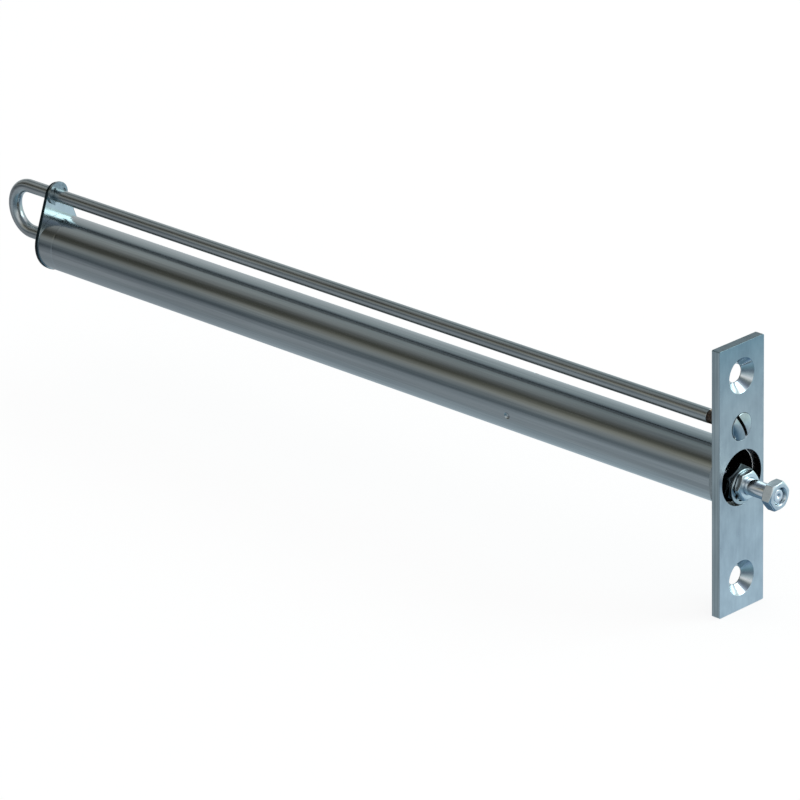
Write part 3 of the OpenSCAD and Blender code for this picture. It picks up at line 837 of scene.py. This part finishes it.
print("Adjusting bow")
bowSet = {"radius": 3.5, "height": 25.5, "bendX": -488.95, "bendSteps": 32,
          "legEnd": -466, "grooveX": (-468, -466.62), "grooveRadius": 3.0, "tip": -2.0,
          "tipRadius": 2.6, "slope": 0.4, "edge": 0.12, "sides": 64, "threadRear": -14.5,
          "threadCore": 2.95, "threadX": (-14, -3.3), "threadRadius": 3.43, "threadPitch": 1}
grooveRear, grooveFront = bowSet["grooveX"]
bow = turnPiece("adjustingBow", soften([
    (bowSet["tip"], bowSet["tipRadius"]),
    (bowSet["tip"] - bowSet["slope"], bowSet["threadCore"]),
    (bowSet["threadRear"] + bowSet["slope"], bowSet["threadCore"]),
    (bowSet["threadRear"], bowSet["radius"]), (grooveFront, bowSet["radius"]),
    (grooveFront, bowSet["grooveRadius"]), (grooveRear, bowSet["grooveRadius"]),
    (grooveRear, bowSet["radius"]), (bowSet["bendX"], bowSet["radius"])],
    bowSet["edge"]), bowSet["height"], sides=bowSet["sides"])
selectFaces(bow, lambda centre, normal: normal.x < -squareOn
            and abs(centre.x - bowSet["bendX"]) < slack)
startEdit(bow, "FACE")
bpy.ops.mesh.spin(steps=bowSet["bendSteps"], angle=math.pi,
                  center=(bowSet["bendX"] * mm, 0, bowSet["height"] / 2 * mm), axis=(0, 1, 0))
bpy.ops.mesh.extrude_region_move(
    TRANSFORM_OT_translate={"value": ((bowSet["legEnd"] - bowSet["bendX"]) * mm, 0, 0)})
endEdit()
faceOutwards(bow)
bowThread = threadRidge(*bowSet["threadX"], bowSet["threadCore"], bowSet["threadRadius"],
                        bowSet["threadPitch"], bowSet["height"])
bow = joinPieces([bow, bowThread])
finishPiece(bow, "bow", ["adjusting_bow"], bowSteel)
# painted shade: the thread is coloured dark for the shadow behind the plate
addFinish(bow, oiledThreadPaintedShade, lambda centre, normal: centre.x > bowSet["threadRear"] + slack)


print("Bow clip")
clipSet = {"x": (-467.96, -466.66), "radius": 6.4, "rise": 1.1, "bore": 3.04,
           "opening": 5.2, "openingDepth": 10, "windowRadius": 1.15, "windowPlace": 4.5,
           "windowAngles": (26, 124), "edge": 0.2}
x0, x1 = clipSet["x"]
clip = turnPiece("bowClip", [(x0, clipSet["radius"]), (x1, clipSet["radius"])],
                 bowSet["height"] + clipSet["rise"])
combine(clip, turnPiece("cutter", [(x0 - past, clipSet["bore"]), (x1 + past, clipSet["bore"])],
                        bowSet["height"], sides=64))
combine(clip, cubePiece(
    "cutter", ((x0 + x1) / 2, 0, bowSet["height"] - clipSet["openingDepth"] / 2),
    (x1 - x0 + 2 * past, clipSet["opening"], clipSet["openingDepth"])))
for angle in clipSet["windowAngles"]:
    a = math.radians(angle)
    window = turnPiece("cutter", [(x0 - past, clipSet["windowRadius"]),
                                  (x1 + past, clipSet["windowRadius"])],
                       bowSet["height"] + clipSet["windowPlace"] * math.sin(a), sides=32)
    window.location = (0, clipSet["windowPlace"] * math.cos(a) * mm, 0)
    applyPlace(window)
    combine(clip, window)
bevelEdges(clip, clipSet["edge"], segments=2)
finishPiece(clip, "bow", ["bow_clip"], clipZinc)


print("Slotted nut")
slottedSet = {"shankRear": -7, "shankRadius": 4.9, "coneRear": 3.0, "radius": 6.7,
              "rimX": (4.8, 5.0), "domeTop": 6.3, "domePoints": 10, "bore": 3.53,
              "boreFront": 3.4, "boreSlope": 0.4, "slotBottom": 4.4, "slotDepth": 4,
              "slotLength": 20, "slotWidth": 1.7, "slotAngle": 118, "edge": 0.12}
rise = slottedSet["domeTop"] - slottedSet["rimX"][1]
domeRadius = (slottedSet["radius"] ** 2 + rise ** 2) / (2 * rise)
domeStart = math.asin(slottedSet["radius"] / domeRadius)
dome = []
for i in range(slottedSet["domePoints"]):
    a = domeStart * (1 - i / slottedSet["domePoints"])
    dome.append((slottedSet["domeTop"] - domeRadius * (1 - math.cos(a)),
                 domeRadius * math.sin(a)))
slotted = turnPiece("slottedNut", [
    (slottedSet["shankRear"], slottedSet["shankRadius"]),
    (slottedSet["coneRear"], slottedSet["shankRadius"]),
    (slottedSet["rimX"][0], slottedSet["radius"])] + dome, bowSet["height"])
combine(slotted, turnPiece("cutter", [
    (slottedSet["shankRear"] - past, slottedSet["bore"] + slottedSet["boreSlope"] + past),
    (slottedSet["shankRear"] + slottedSet["boreSlope"], slottedSet["bore"]),
    (slottedSet["boreFront"], slottedSet["bore"])], bowSet["height"]))
combine(slotted, cubePiece(
    "cutter", (slottedSet["slotBottom"] + slottedSet["slotDepth"] / 2, 0, bowSet["height"]),
    (slottedSet["slotDepth"], slottedSet["slotLength"], slottedSet["slotWidth"]),
    (math.radians(slottedSet["slotAngle"]), 0, 0)))
bevelEdges(slotted, slottedSet["edge"], segments=2, angle=38)
finishPiece(slotted, "nut", ["adjusting_nut"], slottedSteel)


def inSlot(centre, normal):
    # the slot's sides and bottom
    turned = Matrix.Rotation(math.radians(slottedSet["slotAngle"]), 3, "X")
    across = turned @ Vector((0, 0, 1))
    away = abs(Vector((0, centre.y, centre.z - bowSet["height"])).dot(across))
    return (centre.x > slottedSet["slotBottom"] - slack
            and away < (slottedSet["slotWidth"] + slack) / 2
            and (abs(normal.dot(across)) > squareOn
                 or centre.x < slottedSet["slotBottom"] + slack))


# painted shade: the slot's sides and bottom are coloured near black for the shade in it
addFinish(slotted, paintedHollowShade, inSlot)


print("Camera")
cameraSet = {"azimuth": 44.86, "elevation": 22.4216, "roll": -1.45782, "target": (-200, 0, 0),
             "distance": 2498.109, "right": -12.432, "up": -15.791, "lens": 229.67,
             "sensor": 36, "seenFrom": 50, "seenTo": 50000}
a, e, roll = (math.radians(cameraSet[key]) for key in ("azimuth", "elevation", "roll"))
back = Vector((math.cos(e) * math.cos(a), -math.cos(e) * math.sin(a), math.sin(e)))
right = Vector((0, 0, 1)).cross(back).normalized()
up = back.cross(right)
right, up = (math.cos(roll) * right + math.sin(roll) * up,
             -math.sin(roll) * right + math.cos(roll) * up)
cameraData = bpy.data.cameras.new("photoCamera")
cameraData.sensor_width = cameraSet["sensor"]
cameraData.lens = cameraSet["lens"]
cameraData.clip_start = cameraSet["seenFrom"] * mm
cameraData.clip_end = cameraSet["seenTo"] * mm
camera = bpy.data.objects.new("photoCamera", cameraData)
bpy.context.scene.collection.objects.link(camera)
camera.matrix_world = Matrix((right, up, back)).transposed().to_4x4()
camera.location = (Vector(cameraSet["target"]) + back * cameraSet["distance"]
                   + right * cameraSet["right"] + up * cameraSet["up"]) * mm
bpy.context.scene.camera = camera


print("Floor and light")
floorSet = {"top": -67.2, "radius": 6000, "border": 400, "keepShadow": 0.17,
            "colour": "#FFFFFF"}
deselectAll()
bpy.ops.mesh.primitive_circle_add(vertices=sidesRound, radius=floorSet["radius"] * mm,
                                  fill_type="NGON", location=(0, 0, floorSet["top"] * mm))
floor = named("studioFloor")
applyPlace(floor)
startEdit(floor, "FACE")
bpy.ops.mesh.select_all(action="SELECT")
bpy.ops.mesh.inset(thickness=floorSet["border"] * mm)
endEdit()
floorMaterial, tree = newTree("paintedFloor")
path = addNode(tree, "ShaderNodeLightPath")
paint = addNode(tree, "ShaderNodeBsdfDiffuse", {"Color": linear(floorSet["colour"])})
white = addNode(tree, "ShaderNodeEmission", {"Color": (1, 1, 1, 1), "Strength": 1.0})
seen = addNode(tree, "ShaderNodeMixShader", {"Fac": floorSet["keepShadow"]},
               {1: white.outputs[0], 2: paint.outputs[0]})
shown = addNode(tree, "ShaderNodeMath", operation="MAXIMUM",
                links={0: path.outputs["Is Camera Ray"], 1: path.outputs["Is Glossy Ray"]})
mixed = addNode(tree, "ShaderNodeMixShader",
                links={0: shown.outputs[0], 1: paint.outputs[0], 2: seen.outputs[0]})
addNode(tree, "ShaderNodeOutputMaterial", links={"Surface": mixed.outputs[0]})
floor.data.materials.append(floorMaterial)
floor.visible_glossy = False  # the world's lower half shows this floor in the metal

# What the metal mirrors, by the angle round the X axis, from +Y over the top: a soft box,
# the dark room with its pale wall, the table's edge and the white table. The table's edge
# runs askew, so the bands differ further back and nearer, and they differ again in front
farBands = [
    (0, "#C8CDCF"), (30, "#C9CFD0"), (50, "#B0B8B8"), (58, "#8C9596"), (67, "#566063"),
    (74, "#8B9394"), (82, "#B4BBBA"), (97, "#B9BDBA"), (108, "#A2A5A2"), (120, "#757671"),
    (132, "#3C3D37"), (143, "#3E3F3A"), (154, "#8F918D"), (165, "#A0A6A5"), (178, "#6E767A"),
    (190, "#3F474D"), (203, "#7C8287"), (216, "#A2A6AA"), (246, "#989FA3"), (270, "#9CA3A8"),
    (297, "#9CA3A8"), (330, "#AEB6BC")]
nearBands = [
    (0, "#C4D2D7"), (30, "#B5C4C8"), (50, "#9AAAAE"), (58, "#83949A"), (67, "#58676D"),
    (76, "#7C8A8E"), (88, "#919C9D"), (105, "#868E90"), (118, "#6F7270"), (128, "#595A53"),
    (138, "#7E7D70"), (150, "#B6B5A8"), (162, "#AEB2B1"), (174, "#8C969A"), (186, "#7B878D"),
    (198, "#BBC6CC"), (216, "#B0BBC1"), (235, "#A9B4BA"), (255, "#B7C7CF"), (280, "#BACCD5"),
    (325, "#C2D4DE")]
frontBands = [
    (0, "#E8FFFF"), (20, "#EEFFFF"), (45, "#FFFFFF"), (65, "#F4FAFF"), (78, "#B4C0CE"),
    (90, "#828E9E"), (105, "#747E84"), (122, "#7C8689"), (136, "#D2D6D2"), (150, "#FFFFFF"),
    (163, "#DDE6E8"), (181, "#B3C3C8"), (197, "#8A9AA4"), (210, "#6F808D"), (234, "#75949F"),
    (255, "#8CADBF"), (273, "#829FB7"), (289, "#4C6C85"), (303, "#60819A"), (317, "#A8C2D2"),
    (329, "#BDCFDC"), (338, "#D4F0FB"), (350, "#E4FFFF")]

# the far bands give way to the near ones, and both to the front ones, by the direction's X
worldSet = {"plainLight": 0.93, "farX": -0.72, "nearX": -0.6, "turn": (-0.3, 0.1)}
world = bpy.data.worlds.new("studioRoom")
bpy.context.scene.world = world
world.use_nodes = True
world.cycles.sampling_method = "NONE"
tree = world.node_tree
tree.nodes.clear()
direction = addNode(tree, "ShaderNodeTexCoord")
parts = addNode(tree, "ShaderNodeSeparateXYZ", links={0: direction.outputs["Generated"]})
angle = addNode(tree, "ShaderNodeMath", operation="ARCTAN2",
                links={0: parts.outputs["Z"], 1: parts.outputs["Y"]})
turns = addNode(tree, "ShaderNodeMath", {1: 2 * math.pi}, {0: angle.outputs[0]},
                operation="DIVIDE")
share = addNode(tree, "ShaderNodeMath", {1: 1.0}, {0: turns.outputs[0]},
                operation="FLOORED_MODULO")
rooms = []
for stops in (farBands, nearBands, frontBands):
    rooms.append(addNode(tree, "ShaderNodeValToRGB", links={0: share.outputs[0]}))
    fillRamp(rooms[-1], [(degrees / 360, colour) for degrees, colour in stops]
             + [(1.0, stops[0][1])])
toNear = addNode(tree, "ShaderNodeMapRange",
                 {"From Min": worldSet["farX"], "From Max": worldSet["nearX"]},
                 {"Value": parts.outputs["X"]})
backRoom = addNode(tree, "ShaderNodeMix", data_type="RGBA", links={
    "Factor": toNear.outputs[0], 6: rooms[0].outputs[0], 7: rooms[1].outputs[0]})
toFront = addNode(tree, "ShaderNodeMapRange",
                  {"From Min": worldSet["turn"][0], "From Max": worldSet["turn"][1]},
                  {"Value": parts.outputs["X"]}, interpolation_type="SMOOTHSTEP")
room = addNode(tree, "ShaderNodeMix", data_type="RGBA", links={
    "Factor": toFront.outputs[0], 6: backRoom.outputs[2], 7: rooms[2].outputs[0]})
path = addNode(tree, "ShaderNodeLightPath")
plain = worldSet["plainLight"]
lit = addNode(tree, "ShaderNodeMix", {6: (plain, plain, plain, 1)}, data_type="RGBA", links={
    "Factor": path.outputs["Is Glossy Ray"], 7: room.outputs[2]})
background = addNode(tree, "ShaderNodeMix", {7: (1, 1, 1, 1)}, data_type="RGBA", links={
    "Factor": path.outputs["Is Camera Ray"], 6: lit.outputs[2]})
sky = addNode(tree, "ShaderNodeBackground", {"Strength": 1.0}, {"Color": background.outputs[2]})
addNode(tree, "ShaderNodeOutputWorld", links={"Surface": sky.outputs[0]})

lampSet = {"place": (1500, 1740, 1470), "size": 1650, "power": 22.0, "colour": "#DDFBFC"}
lampData = bpy.data.lights.new("frontSoftBox", "AREA")
lampData.shape = "SQUARE"
lampData.size = lampSet["size"] * mm
lampData.energy = lampSet["power"]
lampData.color = linear(lampSet["colour"])[:3]
lamp = bpy.data.objects.new("frontSoftBox", lampData)
bpy.context.scene.collection.objects.link(lamp)
lamp.location = [v * mm for v in lampSet["place"]]
lamp.rotation_euler = lamp.location.to_track_quat("Z", "Y").to_euler()

bpy.context.scene.view_settings.view_transform = "Standard"
deselectAll()

print("Done")
